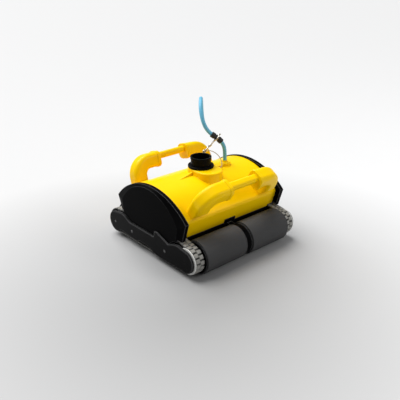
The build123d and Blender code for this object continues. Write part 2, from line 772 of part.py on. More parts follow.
def outer_axle_pins():
    pins = []
    for side in sides.values():
        for end in ends.values():
            pin = rod_x(belt_x0 + wheel_web, arm_x0 + outer_pin_seat, end * axle_y, axle_z,
                        axle_pin_radius)
            pins.append(on_side(pin, side))
    return Compound(children=pins)


# ---- rollers ------------------------------------------------------------------------
def roller_core(side, end):
    y = end * axle_y
    core = rod_x(roller_x0, roller_x1, y, axle_z, core_radius)
    core -= rod_x(roller_x0 + flange_width, roller_x1 - flange_width, y, axle_z,
                  core_radius - core_wall)
    core += rod_x(roller_x0, roller_x0 + flange_width, y, axle_z, flange_radius)
    core += rod_x(roller_x1 - flange_width, roller_x1, y, axle_z, flange_radius)
    core += rod_x(roller_x0, roller_x0 + hub_length + flange_width, y, axle_z, hub_radius)
    core -= rod_x(roller_x0 - 1, roller_x0 + hub_length, y, axle_z,
                  axle_pin_radius + pin_clearance)
    return on_side(core, side)


def roller_sleeve(side, end):
    y = end * axle_y
    x0, x1 = roller_x0 + flange_width, roller_x1 - flange_width
    sleeve = rod_x(x0, x1, y, axle_z, roller_radius)
    sleeve = fillet(sleeve.edges().filter_by(GeomType.CIRCLE), sleeve_round)
    return on_side(sleeve - rod_x(x0 - 1, x1 + 1, y, axle_z, core_radius), side)


def belt_wheel(side, end):
    y = end * axle_y
    seat = wheel_radius - belt_running_gap
    wheel = rod_x(belt_x0, rim_x0, y, axle_z, seat)
    wheel += rod_x(rim_x0, rim_x1, y, axle_z, rim_radius)
    wheel = fillet(wheel.edges().sort_by(Axis.X)[-1:], 1.0)
    wheel += rod_x(roller_x1, belt_x0 + 1, y, axle_z, hub_radius)
    wheel -= rod_x(belt_x0 + wheel_web - pin_end_gap, rim_x1 + 1, y, axle_z,
                   axle_pin_radius + pin_clearance)
    return on_side(wheel, side)


# ---- belts and drive ----------------------------------------------------------------
def track_belt(side):
    outer = belt_outline(belt_thickness)
    ring = outer - belt_outline(0)
    path = outer.face().outer_wire()
    count = round(path.length / cleat_pitch)
    cleats = []
    for k in range(count):
        point = path.position_at(k / count)
        along = path.tangent_at(k / count)
        turn = math.degrees(math.atan2(along.Y, along.X))
        cleat = Pos(point.X, point.Y) * Rot(0, 0, turn) * Rectangle(cleat_length,
                                                                   2 * cleat_height)
        cleats.append(cleat)
    lugs = Sketch() + cleats
    lugs -= belt_outline(0)
    belt = slab_x(ring, belt_x0, belt_x1) + slab_x(lugs, belt_x0 + 1, belt_x1 - 1)
    return on_side(belt, side)


def drive_pulley(side):
    seat = pulley_radius - belt_running_gap
    x0, x1 = belt_x0 + pulley_edge_gap, belt_x1 - pulley_edge_gap
    pulley = rod_x(x0, x1, 0, pulley_z, seat)
    shaft_x0 = drive_motor_x1() - drive_bore_depth + 2 * pin_end_gap
    pulley += rod_x(shaft_x0, x0 + 1, 0, pulley_z, drive_shaft_radius)
    return on_side(pulley, side)


def drive_motor_x1():
    return tray_half_x - tray_wall


def drive_motor(side):
    x1 = drive_motor_x1()
    motor = rod_x(x1 - drive_motor_length, x1, 0, pulley_z, drive_motor_radius)
    motor = fillet(motor.edges().sort_by(Axis.X)[:1], 3)
    motor += rod_x(x1 - 26, x1 - 4, 0, pulley_z, drive_motor_radius + drive_band)
    motor += block(x1 - 4, x1, -drive_flange_half, drive_flange_half, pulley_z - 12,
                   pulley_z + 12)
    motor -= rod_x(x1 - drive_bore_depth, x1 + 1, 0, pulley_z,
                   drive_shaft_radius + pin_clearance)
    return on_side(motor, side)


def shaft_seals():
    seals = []
    for side in sides.values():
        ring = rod_x(tray_half_x - tray_wall, tray_half_x, 0, pulley_z, seal_radius)
        ring -= rod_x(tray_half_x - tray_wall - 1, tray_half_x + 1, 0, pulley_z,
                      drive_shaft_radius + pin_clearance)
        seals.append(on_side(ring, side))
    lid_top = can_top_z + can_lid_thickness
    ring = rod_z(0, 0, can_top_z, lid_top, lid_seal_radius)
    ring -= rod_z(0, 0, can_top_z - 1, lid_top + 1, pump_shaft_radius + pin_clearance)
    seals.append(ring)
    return Compound(children=seals)


def motor_can():
    rail_top = foot_z + can_rail_height
    can = block(-can_half_x, can_half_x, -can_half_y, can_half_y, rail_top, can_top_z)
    can = fillet(can.edges().filter_by(Axis.Z), can_corner)
    inner = block(-can_half_x + can_wall, can_half_x - can_wall, -can_half_y + can_wall,
                  can_half_y - can_wall, rail_top + can_wall, can_top_z + 1)
    can -= fillet(inner.edges().filter_by(Axis.Z), can_corner - can_wall)
    for x in (-can_half_x, can_half_x - can_rail_width):
        can += block(x, x + can_rail_width, -can_rail_half_y, can_rail_half_y, foot_z, rail_top)
    return can


def motor_can_lid():
    lid = block(-can_half_x, can_half_x, -can_half_y, can_half_y, can_top_z,
                can_top_z + can_lid_thickness)
    lid = fillet(lid.edges().filter_by(Axis.Z), can_corner)
    return lid - rod_z(0, 0, can_top_z - 1, can_top_z + can_lid_thickness + 1, lid_seal_radius)


def pump_motor():
    z0 = foot_z + can_rail_height + can_wall
    motor = rod_z(0, 0, z0, z0 + pump_length, pump_radius)
    motor = fillet(motor.edges().sort_by(Axis.Z)[-1:], 4)
    motor += rod_z(0, 0, z0 + pump_band_z0, z0 + pump_band_z1, pump_radius + pump_band)
    return motor - rod_z(0, 0, z0 + pump_length - pump_bore_depth, z0 + pump_length + 1,
                         pump_shaft_radius + pin_clearance)


def impeller():
    z0, z1 = impeller_z, impeller_z + impeller_height
    hub = rod_z(0, 0, z0, z1, impeller_hub_radius)
    hub = fillet(hub.edges().sort_by(Axis.Z)[-1:], 4)
    tip = duct_radius - impeller_gap
    blade = Pos(tip / 2 + 2, 0, (z0 + z1) / 2) * Rot(90 - blade_pitch, 0, 0)
    blade *= Box(tip + 6, blade_thickness, 2 * impeller_height)
    blade &= rod_z(0, 0, z0 + 1, z1 - 2, tip)
    blade -= block(-2 * tip, 0, -2 * tip, 2 * tip, z0 - impeller_height, z1 + impeller_height)
    wheel = hub
    for k in range(blade_count):
        wheel += Rot(0, 0, 360 / blade_count * k) * blade
    motor_top = foot_z + can_rail_height + can_wall + pump_length
    shaft_foot = motor_top - pump_bore_depth + 2 * pin_end_gap
    return wheel + rod_z(0, 0, shaft_foot, z0 + 2, pump_shaft_radius)


def float_blocks():
    blocks = []
    z0 = foot_z + can_rail_height
    for end in ends.values():
        foam = block(-float_half_x, float_half_x, float_low_y, float_high_y, z0, float_top_z)
        foam = fillet(foam.edges().filter_by(Axis.Z), float_corner)
        blocks.append(at_end(foam, end))
    return Compound(children=blocks)


def control_board():
    z0 = foot_z + can_rail_height + can_wall
    x0 = pump_radius + board_gap
    board = block(x0, x0 + board_thickness, -board_half, board_half, z0, can_top_z - 6)
    board += block(x0 - 8, x0, -30, -10, z0 + 12, z0 + 34)
    board += block(x0 - 6, x0, 6, 28, z0 + 20, z0 + 50)
    return board


# ---- cable --------------------------------------------------------------------------
def route_radii(points):
    """As large an arc as the two runs beside each corner leave room for."""
    radii = []
    for a, b, c in zip(points, points[1:], points[2:]):
        before, after = b - a, c - b
        half_turn = math.radians(before.get_angle(after)) / 2
        radii.append(0.45 * min(before.length, after.length) / math.tan(half_turn))
    return radii


def tube(route, radius, name):
    points = [Vector(*p) for p in route]
    radii = route_radii(points)
    path = FilletPolyline(*points, radius=radii)
    start = Plane(origin=path @ 0, z_dir=path % 0)
    solid = sweep(start * Circle(radius), path)
    ideal = math.pi * radius**2 * path.length
    print(name, "length", round(path.length, 1), "volume ratio", round(solid.volume / ideal, 4),
          "radii", [round(r) for r in radii])
    return solid


def cable():
    """The free stretch from the gland to the coil, and the tail inside it."""
    return Compound(children=[tube(cable_route, cable_radius, "cable"),
                              tube(tail_route(), cable_radius, "cable tail")])


def tail_route():
    """From the inner turn round to the plug, which lies on the floor inside the coil."""
    shift = coil_inner_radius + cable_radius - tail_bend_radius
    middle = Vector(*coil_centre) + Vector(shift, 0).rotate(Axis.Z, tail_start)
    z0 = coil_foot_z + cable_radius
    points = []
    for k in range(tail_points):
        arm = Vector(tail_bend_radius, 0).rotate(Axis.Z, tail_start + tail_step * k)
        rise = (plug_radius - z0) * min(1, k / (tail_points - 2))
        points.append((middle.X + arm.X, middle.Y + arm.Y, z0 + rise))
    return points


def coil_section(growth):
    """Section of the tied coil, one side of its axis."""
    middle = (coil_outer_radius + coil_inner_radius) / 2
    width = coil_outer_radius - coil_inner_radius + 2 * growth
    height = coil_height + 2 * growth
    centre = Pos(middle, coil_foot_z + coil_height / 2)
    return centre * RectangleRounded(width, height, coil_corner + growth)


def cable_coil(cable_shape):
    """Outer shape of the turns, with a groove where the free cable runs into them."""
    ring = revolve(Plane.XZ * coil_section(0), Axis.Z)
    return Pos(*coil_centre, 0) * ring - cable_shape


def coil_ties():
    middle = (coil_outer_radius + coil_inner_radius) / 2
    arc = math.degrees(tie_width / middle)
    ties = []
    for turn in tie_turns:
        band = coil_section(tie_thickness) - coil_section(0)
        band = revolve(Plane.XZ * band, Axis.Z, revolution_arc=arc)
        ties.append(Pos(*coil_centre, 0) * Rot(0, 0, turn) * band)
    return Compound(children=ties)


def sleeve_axis():
    middle = (Vector(*cable_route[3]) + Vector(*cable_route[5])) / 2
    along = (Vector(*cable_route[5]) - Vector(*cable_route[3])).normalized()
    return (middle + Vector(*cable_route[4])) / 2, along


def cable_sleeve(cable_shape):
    """Rubber clamp on the cable: two cuffs with a narrow waist for the hook ring."""
    middle, along = sleeve_axis()
    reach = sleeve_gap / 2 + sleeve_end_length
    sleeve = rod_between(middle - along * reach, middle + along * reach, sleeve_waist_radius)
    for way in (-1, 1):
        cuff = rod_between(middle + along * (way * sleeve_gap / 2), middle + along * (way * reach),
                           sleeve_radius)
        sleeve += fillet(cuff.edges().filter_by(GeomType.CIRCLE), 1.5)
    return sleeve - cable_shape


def snap_hook():
    """Ring round the clamp's waist, swivel barrel and the eye that holds the tether."""
    middle, along = sleeve_axis()
    ring_radius = sleeve_waist_radius + hook_wire
    ring = Plane(origin=middle, z_dir=along) * Torus(ring_radius, hook_wire)
    foot = Vector(*hook_foot)
    side = foot - middle
    side = (side - along * side.dot(along)).normalized()
    top = middle + side * ring_radius
    down = (foot - top).normalized()
    reach = (foot - top).length
    hook = ring + rod_between(top + side * hook_wire / 2, foot, hook_shank_radius)
    hook += rod_between(top + down * (0.4 * reach), top + down * (0.62 * reach),
                        hook_barrel_radius)
    eye = Plane(origin=foot + down * hook_eye_radius, x_dir=down, z_dir=(0, 1, 0))
    return hook + eye * Torus(hook_eye_radius, hook_wire)


def tether_cord():
    cord = tube(tether_route, tether_radius, "tether")
    return cord + Pos(*tether_route[-1]) * Sphere(knot_radius)


def cable_plug():
    before, start = [Vector(*p) for p in tail_route()[-2:]]
    along = (start - before).normalized()
    body_start = start + along * plug_neck_length
    body_end = start + along * plug_length
    neck = Plane(origin=start + along * plug_neck_length / 2, z_dir=along)
    neck *= Cone(cable_radius + 2, plug_radius - plug_wall, plug_neck_length)
    body = rod_between(body_start, body_end, plug_radius - 1)
    body = fillet(body.edges().filter_by(GeomType.CIRCLE), 1.5)
    nut_start = body_start + along * 4
    nut = rod_between(nut_start, nut_start + along * plug_nut_length, plug_radius)
    socket_floor = body_end - along * plug_socket_depth
    socket = rod_between(socket_floor, body_end + along, plug_radius - 1 - plug_wall)
    plug = neck + body + nut - socket
    for k in range(contact_count):
        turn = 360 / contact_count * k
        side = Vector(0, 0, contact_circle_radius).rotate(Axis((0, 0, 0), along), turn)
        plug += rod_between(socket_floor + side - along, body_end + side - along * 2,
                            contact_radius)
    return plug


# ---- files --------------------------------------------------------------------------
os.makedirs("parts", exist_ok=True)
save(top_shell(), "top_shell")
save(handle(-1, front_root, front_tilt, front_rise, front_sink, True), "front_handle")
save(handle(1, rear_root, rear_tilt, rear_rise, rear_sink, False), "rear_handle")
save(case_screws(), "case_screws")
save(arm_screws(), "arm_screws")
save(outlet_cap(), "outlet_cap")
save(outlet_gasket(), "outlet_gasket")
save(outlet_grille(), "outlet_grille")
save(cable_gland(), "cable_gland")
save(bottom_tray(), "bottom_tray")
save(bottom_lid(), "bottom_lid")
save(filter_frame(), "filter_frame")
save(filter_bag(), "filter_bag")
save(motor_can(), "motor_can")
save(motor_can_lid(), "motor_can_lid")
save(pump_motor(), "pump_motor")
save(impeller(), "impeller")
save(shaft_seals(), "shaft_seals")
save(float_blocks(), "float_blocks")
save(control_board(), "control_board")
save(inner_axle_pins(), "inner_axle_pins")
save(outer_axle_pins(), "outer_axle_pins")
for side_name, side in sides.items():
    save(end_shield(side), side_name + "_shield")
    save(side_arm(side), side_name + "_arm")
    save(intake_flap(side), side_name + "_intake_flap")
    save(track_belt(side), side_name + "_belt")
    save(drive_pulley(side), side_name + "_drive_pulley")
    save(drive_motor(side), side_name + "_drive_motor")
for end_name, end in ends.items():
    save(turn_latch(end), end_name + "_turn_latch")
    save(roller_bracket(end), end_name + "_roller_bracket")
    for side_name, side in sides.items():
        corner = end_name + "_" + side_name
        save(roller_core(side, end), corner + "_roller_core")
        save(roller_sleeve(side, end), corner + "_roller_sleeve")
        save(belt_wheel(side, end), corner + "_belt_wheel")
cable_shape = cable()
save(cable_shape, "cable")
save(cable_coil(cable_shape), "cable_coil")
save(coil_ties(), "coil_ties")
save(cable_sleeve(cable_shape), "cable_sleeve")
save(snap_hook(), "snap_hook")
save(tether_cord(), "tether_cord")
save(cable_plug(), "cable_plug")
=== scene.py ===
import bpy
import math
from mathutils import Matrix, Vector


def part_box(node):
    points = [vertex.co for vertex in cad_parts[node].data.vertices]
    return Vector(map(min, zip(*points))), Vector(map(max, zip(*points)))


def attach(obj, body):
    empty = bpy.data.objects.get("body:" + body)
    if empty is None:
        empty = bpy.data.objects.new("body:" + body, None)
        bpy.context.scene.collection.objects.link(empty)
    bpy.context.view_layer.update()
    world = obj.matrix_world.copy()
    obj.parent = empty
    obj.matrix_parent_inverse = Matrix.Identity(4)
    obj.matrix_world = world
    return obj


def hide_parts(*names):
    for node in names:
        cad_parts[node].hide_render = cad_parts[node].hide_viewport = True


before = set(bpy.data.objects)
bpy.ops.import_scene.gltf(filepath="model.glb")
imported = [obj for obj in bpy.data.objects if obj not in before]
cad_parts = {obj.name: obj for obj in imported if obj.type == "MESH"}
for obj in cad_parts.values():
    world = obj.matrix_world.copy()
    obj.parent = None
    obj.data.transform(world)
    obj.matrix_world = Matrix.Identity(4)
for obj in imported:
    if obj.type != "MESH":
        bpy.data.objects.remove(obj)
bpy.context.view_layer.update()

# Tracked pool cleaner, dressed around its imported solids. Metres, +X across, front at -Y, +Z up.

bpy.ops.object.select_all(action="DESELECT")

# ---- camera ------------------------------------------------------------------------------
# Eye level of someone standing over the machine, seen from its front left corner with a
# normal lens.
view_target = Vector((0.001, 0.0056, 0.127))
view_turn = math.radians(-40.84)
view_lift = math.radians(24.04)
view_distance = 1.875
back = Vector((math.sin(view_turn) * math.cos(view_lift),
               -math.cos(view_turn) * math.cos(view_lift), math.sin(view_lift)))
bpy.ops.object.camera_add(location=view_target + back * view_distance)
camera = bpy.context.object
camera.name = "view_camera"
camera.rotation_euler = back.to_track_quat("Z", "Y").to_euler()
camera.data.lens = 49.81
camera.data.sensor_width = 36.0
bpy.context.scene.camera = camera


# ---- floating cable ----------------------------------------------------------------------
# A foamed blue-grey jacket over the conductors, so that the cable floats. It rises from the
# gland in a loose S, passes over the rear handle and falls to the coil behind the machine.
def node_at(tree, kind, x, y, **inputs):
    """A shader node with its sockets set, or linked where a socket is given."""
    made = tree.nodes.new(kind)
    made.location = (x, y)
    for name, value in inputs.items():
        socket = made.inputs[name.replace("_", " ")]
        if isinstance(value, bpy.types.NodeSocket):
            tree.links.new(value, socket)
        else:
            socket.default_value = value
    return made


def sum_at(tree, operation, x, y, *values, clamp=False):
    """A Math node with its inputs in order."""
    made = tree.nodes.new("ShaderNodeMath")
    made.operation = operation
    made.use_clamp = clamp
    made.location = (x, y)
    for socket, value in zip(made.inputs, values):
        if isinstance(value, bpy.types.NodeSocket):
            tree.links.new(value, socket)
        else:
            socket.default_value = value
    return made.outputs[0]


broad_scale = 14.0
edge_highlight_gain = 5.0


def finish_group():
    """Moulded surface: fine grain, slow changes of tone and gloss, softened edges,
    painted-highlight mask.
    """
    tree = bpy.data.node_groups.new("moulded_finish", "ShaderNodeTree")
    for name, value in (("Scale", 900.0), ("Roughness", 0.4), ("Swing", 0.12),
                        ("Edge Radius", 0.001)):
        socket = tree.interface.new_socket(name=name, in_out="INPUT",
                                           socket_type="NodeSocketFloat")
        socket.default_value = value
    for name in ("Height", "Roughness", "Tone", "Edge"):
        tree.interface.new_socket(name=name, in_out="OUTPUT", socket_type="NodeSocketFloat")
    tree.interface.new_socket(name="Normal", in_out="OUTPUT", socket_type="NodeSocketVector")
    start = tree.nodes.new("NodeGroupInput")
    end = tree.nodes.new("NodeGroupOutput")
    place = node_at(tree, "ShaderNodeTexCoord", -900, 0)
    fine = node_at(tree, "ShaderNodeTexNoise", -600, 300, Vector=place.outputs["Object"],
                   Scale=start.outputs["Scale"], Detail=3.0)
    broad = node_at(tree, "ShaderNodeTexNoise", -600, 0, Vector=place.outputs["Object"],
                    Scale=broad_scale, Detail=4.0)
    centred = sum_at(tree, "SUBTRACT", -400, 0, broad.outputs["Fac"], 0.5)
    gloss = sum_at(tree, "MULTIPLY_ADD", -200, 0, centred, start.outputs["Swing"],
                   start.outputs["Roughness"])
    soft = node_at(tree, "ShaderNodeBevel", -600, -300, Radius=start.outputs["Edge Radius"])
    soft.samples = 4
    # Edge is a mask of the rounded edges, where the materials paint a highlight.
    flat = node_at(tree, "ShaderNodeNewGeometry", -600, -500)
    across = tree.nodes.new("ShaderNodeVectorMath")
    across.operation = "DOT_PRODUCT"
    across.location = (-400, -400)
    tree.links.new(soft.outputs["Normal"], across.inputs[0])
    tree.links.new(flat.outputs["Normal"], across.inputs[1])
    edge = sum_at(tree, "MULTIPLY_ADD", -200, -400, across.outputs["Value"], -edge_highlight_gain,
                  edge_highlight_gain, clamp=True)
    tree.links.new(fine.outputs["Fac"], end.inputs["Height"])
    tree.links.new(gloss, end.inputs["Roughness"])
    tree.links.new(broad.outputs["Fac"], end.inputs["Tone"])
    tree.links.new(edge, end.inputs["Edge"])
    tree.links.new(soft.outputs["Normal"], end.inputs["Normal"])
    return tree


moulded_finish = finish_group()
gloss_swing = 0.12


def moulded(name, light, dark, roughness, scale=900.0, depth=0.00004, specular=0.5,
            metallic=0.0, ior=1.45, edge_radius=0.0012, edge_highlight_tone=None, edge_highlight_share=0.35):
    """Plastic, rubber or metal: two close tones, fine grain, and a painted highlight on the
    edges.
    """
    material = bpy.data.materials.new(name)
    material.use_nodes = True
    tree = material.node_tree
    shader = tree.nodes["Principled BSDF"]
    finish = tree.nodes.new("ShaderNodeGroup")
    finish.node_tree = moulded_finish
    finish.location = (-900, 0)
    for socket, value in (("Scale", scale), ("Roughness", roughness),
                          ("Swing", gloss_swing), ("Edge Radius", edge_radius)):
        finish.inputs[socket].default_value = value
    tone = node_at(tree, "ShaderNodeMix", -600, 200)
    tone.data_type = "RGBA"
    tree.links.new(finish.outputs["Tone"], tone.inputs["Factor"])
    tone.inputs["A"].default_value = (*dark, 1)
    tone.inputs["B"].default_value = (*light, 1)
    # Painted highlight: the edge mask mixes the colour towards a paler tone on the edges.
    painted_light_share = sum_at(tree, "MULTIPLY", -600, 0, finish.outputs["Edge"], edge_highlight_share)
    edge_highlighted = node_at(tree, "ShaderNodeMix", -300, 200)
    edge_highlighted.data_type = "RGBA"
    tree.links.new(painted_light_share, edge_highlighted.inputs["Factor"])
    tree.links.new(tone.outputs["Result"], edge_highlighted.inputs["A"])
    edge_highlight_colour = edge_highlight_tone or tuple(min(1, 1.5 * c + 0.03) for c in light)
    edge_highlighted.inputs["B"].default_value = (*edge_highlight_colour, 1)
    bump = node_at(tree, "ShaderNodeBump", -300, -200, Height=finish.outputs["Height"],
                   Normal=finish.outputs["Normal"], Distance=depth, Strength=1.0)
    tree.links.new(edge_highlighted.outputs["Result"], shader.inputs["Base Color"])
    tree.links.new(finish.outputs["Roughness"], shader.inputs["Roughness"])
    tree.links.new(bump.outputs["Normal"], shader.inputs["Normal"])
    shader.inputs["Specular IOR Level"].default_value = specular
    shader.inputs["Metallic"].default_value = metallic
    shader.inputs["IOR"].default_value = ior
    return material


cable_diameter = 0.013
cable_jacket = moulded("cable_jacket", (0.16, 0.52, 0.74), (0.11, 0.43, 0.63), 0.42)
cable_route = [
    (0.105, -0.003, 0.249), (0.105, -0.003, 0.276), (0.1025, -0.0005, 0.299),
    (0.092, 0.007, 0.319), (0.075, 0.016, 0.334), (0.060, 0.029, 0.348), (0.051, 0.039, 0.368),
    (0.049, 0.050, 0.391), (0.055, 0.064, 0.414), (0.069, 0.082, 0.432), (0.091, 0.106, 0.441),
    (0.118, 0.136, 0.435), (0.146, 0.166, 0.412), (0.171, 0.193, 0.374), (0.191, 0.211, 0.329),
    (0.207, 0.216, 0.298), (0.220, 0.206, 0.276), (0.236, 0.192, 0.259), (0.254, 0.181, 0.242),
    (0.266, 0.172, 0.220), (0.268, 0.168, 0.194), (0.267, 0.167, 0.167), (0.267, 0.165, 0.112),
    (0.270, 0.154, 0.062), (0.285, 0.136, 0.026), (0.311, 0.118, 0.009), (0.343, 0.1095, 0.0065),
]
coil_centre = Vector((0.376, 0.240, 0))
coil_outer = 0.137
coil_inner = 0.085
coil_foot = 0.0015
coil_height = 0.053
turn_points = 24
columns = 4
layers = 4
coil_entry = math.radians(270)
coil_exit = math.radians(95)


def coil_points():
    """Turns wound from the outer column inwards, up one column and down the next."""
    pull_in = (3 + math.cos(2 * math.pi / turn_points)) / 4
    column_step = (coil_outer - coil_inner - cable_diameter) / (columns - 1)
    layer_step = (coil_height - cable_diameter) / (layers - 1)
    last_turn = (coil_exit - coil_entry) % (2 * math.pi)
    total = last_turn + 2 * math.pi * (columns * layers - 1)
    count = round(total / (2 * math.pi) * turn_points)
    points = []
    for k in range(count + 1):
        turned = total * k / count
        turn = min(int(turned / (2 * math.pi)), columns * layers - 1)
        # the step to the next turn is made over the last sixth of each turn
        part = turned / (2 * math.pi) - turn
        ease = max(0, (part - 5 / 6) * 6)

        def slot(index):
            column, layer = divmod(min(index, columns * layers - 1), layers)
            rise = layer if column % 2 == 0 else layers - 1 - layer
            return column, rise

        now, following = slot(turn), slot(turn + 1)
        column = now[0] + (following[0] - now[0]) * ease
        layer = now[1] + (following[1] - now[1]) * ease
        radius = (coil_outer - cable_diameter / 2 - column * column_step) / pull_in
        angle = coil_entry + turned
        points.append((coil_centre.x + radius * math.cos(angle),
                       coil_centre.y + radius * math.sin(angle),
                       coil_foot + cable_diameter / 2 + layer * layer_step))
    return points


tail_radius = 0.067
tail_step = math.radians(30)
tail_count = 5
plug_radius = 0.014


def tail_points():
    """From the inner turn round to the plug, which lies on the floor inside the coil."""
    shift = coil_inner + cable_diameter / 2 - tail_radius
    middle = coil_centre + Vector((math.cos(coil_exit), math.sin(coil_exit), 0)) * shift
    z0 = coil_foot + cable_diameter / 2
    points = []
    for k in range(1, tail_count + 1):
        turn = coil_exit + tail_step * k
        rise = (plug_radius - z0) * min(1, k / (tail_count - 1))
        points.append((middle.x + tail_radius * math.cos(turn),
                       middle.y + tail_radius * math.sin(turn), z0 + rise))
    return points


def cord_curve(name, points, diameter, material):
    """A round cord along one open NURBS spline."""
    curve = bpy.data.curves.new(name, "CURVE")
    curve.dimensions = "3D"
    spline = curve.splines.new("NURBS")
    spline.points.add(len(points) - 1)
    for made, place in zip(spline.points, points):
        made.co = (*place, 1)
    spline.order_u = 3
    spline.use_endpoint_u = True
    spline.resolution_u = 3
    curve.bevel_depth = diameter / 2
    curve.bevel_resolution = 3
    curve.use_fill_caps = True
    curve.materials.append(material)
    cord = bpy.data.objects.new(name, curve)
    bpy.context.collection.objects.link(cord)
    return cord


cable = cord_curve("floating_cable", cable_route + coil_points() + tail_points(), cable_diameter,
                   cable_jacket)
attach(cable, "root")
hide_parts("cable", "cable_coil")


# ---- clamp on the cable ------------------------------------------------------------------
# A black rubber sleeve pushed over the jacket: two ribbed cuffs with a narrow waist between
# them, where the swivel hook's ring sits.
def only(piece):
    """Makes this piece the one selected and active object."""
    bpy.ops.object.select_all(action="DESELECT")
    piece.select_set(True)
    bpy.context.view_layer.objects.active = piece


def line_of(cord):
    """Points along a cord's own spline, closely spaced."""
    bare = bpy.data.objects.new("bare_line", cord.data.copy())
    bare.data.bevel_depth = 0
    bare.data.use_fill_caps = False
    bare.data.splines[0].resolution_u = 24
    bpy.context.collection.objects.link(bare)
    bpy.context.view_layer.update()
    drawn = bare.evaluated_get(bpy.context.evaluated_depsgraph_get())
    mesh = bpy.data.meshes.new_from_object(drawn)
    points = [vertex.co.copy() for vertex in mesh.vertices]
    bpy.data.objects.remove(bare)
    bpy.data.meshes.remove(mesh)
    return points


def stretch(points, middle, reach, step):
    """(distance, point) pairs each side of the line's nearest point to middle."""
    nearest = min(range(len(points)), key=lambda k: (points[k] - middle).length)
    found = []
    for way in (-1, 1):
        walked = 0.0
        wanted = step if way > 0 else 0.0
        k = nearest
        while wanted <= reach + 1e-9 and 0 <= k + way < len(points):
            run = points[k + way] - points[k]
            while wanted <= reach + 1e-9 and walked + run.length >= wanted:
                found.append((way * wanted, points[k] + run * ((wanted - walked) / run.length)))
                wanted += step
            walked += run.length
            k += way
    return sorted(found, key=lambda pair: pair[0])


def along_cord(name, pairs, radius_at, material):
    """A round piece on a cord, as thick as radius_at(distance) says, made a mesh."""
    curve = bpy.data.curves.new(name, "CURVE")
    curve.dimensions = "3D"
    spline = curve.splines.new("POLY")
    spline.points.add(len(pairs) - 1)
    for made, (distance, place) in zip(spline.points, pairs):
        made.co = (*place, 1)
        made.radius = radius_at(distance)
    curve.bevel_depth = 1.0
    curve.bevel_resolution = 8
    curve.use_fill_caps = True
    piece = bpy.data.objects.new(name, curve)
    bpy.context.collection.objects.link(piece)
    only(piece)
    bpy.ops.object.convert(target="MESH")
    piece = bpy.context.object
    piece.data.materials.append(material)
    bpy.ops.object.mode_set(mode="EDIT")
    bpy.ops.mesh.select_all(action="SELECT")
    bpy.ops.mesh.remove_doubles(threshold=1e-6)
    bpy.ops.mesh.normals_make_consistent(inside=False)
    bpy.ops.object.mode_set(mode="OBJECT")
    bpy.ops.object.shade_smooth_by_angle(angle=math.radians(40))
    return piece


black_rubber = moulded("black_rubber", (0.016, 0.016, 0.017), (0.010, 0.010, 0.011), 0.55)
cuff_radius = 0.010
waist_radius = 0.008
waist_half = 0.008
cuff_length = 0.014
cuff_round = 0.0016
rib_pitch = 0.0034
rib_depth = 0.0004
clamp_step = 0.0004
cable_line = line_of(cable)
clamp_middle = Vector((0.0770, 0.0155, 0.3235))


def clamp_radius(distance):
    """Waist, cuffs with turned-in ends, and shallow ribs round each cuff."""
    past_waist = abs(distance) - waist_half
    if past_waist < 0:
        return waist_radius
    from_end = min(past_waist, cuff_length - past_waist)
    if from_end < cuff_round:
        return cuff_radius - cuff_round + math.sqrt(max(0, cuff_round ** 2
                                                       - (cuff_round - from_end) ** 2))
    rib = math.cos(2 * math.pi * past_waist / rib_pitch)
    return cuff_radius - rib_depth * max(0, rib)


clamp_pairs = stretch(cable_line, clamp_middle, waist_half + cuff_length, clamp_step)
clamp = along_cord("rubber_clamp", clamp_pairs, clamp_radius, black_rubber)
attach(clamp, "root")
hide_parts("cable_sleeve")

# ---- swivel hook -------------------------------------------------------------------------
# Cast metal hook that hangs on the clamp: a sprung ring with its release prong, a swivel
# barrel and the eye that the tether is tied to.
steel = moulded("steel", (0.66, 0.62, 0.56), (0.54, 0.51, 0.46), 0.34, metallic=1.0,
                scale=2200, depth=0.00002, edge_radius=0.0003)
hook_wire = 0.0024
hook_foot = Vector((0.040, 0.024, 0.290))
eye_radius = 0.0045
prong_aim = Vector((0.75, -0.28, 0.60)).normalized()
prong_length = 0.008
turning_steps = 20


def turned(name, profile, foot, along, material):
    """A solid of revolution: (radius, height) points, spun about the axis from foot."""
    mesh = bpy.data.meshes.new(name)
    piece = bpy.data.objects.new(name, mesh)
    bpy.context.collection.objects.link(piece)
    edges = [(k, k + 1) for k in range(len(profile) - 1)]
    mesh.from_pydata([(radius, 0, height) for radius, height in profile], edges, [])
    only(piece)
    bpy.ops.object.mode_set(mode="EDIT")
    bpy.ops.mesh.select_all(action="SELECT")
    bpy.ops.mesh.spin(steps=turning_steps, angle=2 * math.pi, center=(0, 0, 0),
                      axis=(0, 0, 1))
    bpy.ops.mesh.select_all(action="SELECT")
    bpy.ops.mesh.remove_doubles(threshold=1e-6)
    bpy.ops.mesh.normals_make_consistent(inside=False)
    bpy.ops.object.mode_set(mode="OBJECT")
    turn = Vector(along).to_track_quat("Z", "Y").to_matrix().to_4x4()
    mesh.transform(Matrix.Translation(foot) @ turn)
    bpy.ops.object.shade_smooth_by_angle(angle=math.radians(40))
    mesh.materials.append(material)
    return piece


def ring(name, middle, axis, radius, wire, material):
    """A closed wire ring."""
    bpy.ops.mesh.primitive_torus_add(major_radius=radius, minor_radius=wire, major_segments=40,
                                     minor_segments=12)
    piece = bpy.context.object
    piece.name = name
    turn = Vector(axis).to_track_quat("Z", "Y").to_matrix().to_4x4()
    piece.data.transform(Matrix.Translation(middle) @ turn)
    bpy.ops.object.shade_smooth()
    piece.data.materials.append(material)
    return piece


def joined(name, pieces):
    """Several meshes made one piece."""
    only(pieces[0])
    for piece in pieces[1:]:
        piece.select_set(True)
    bpy.ops.object.join()
    bpy.context.object.name = name
    return bpy.context.object


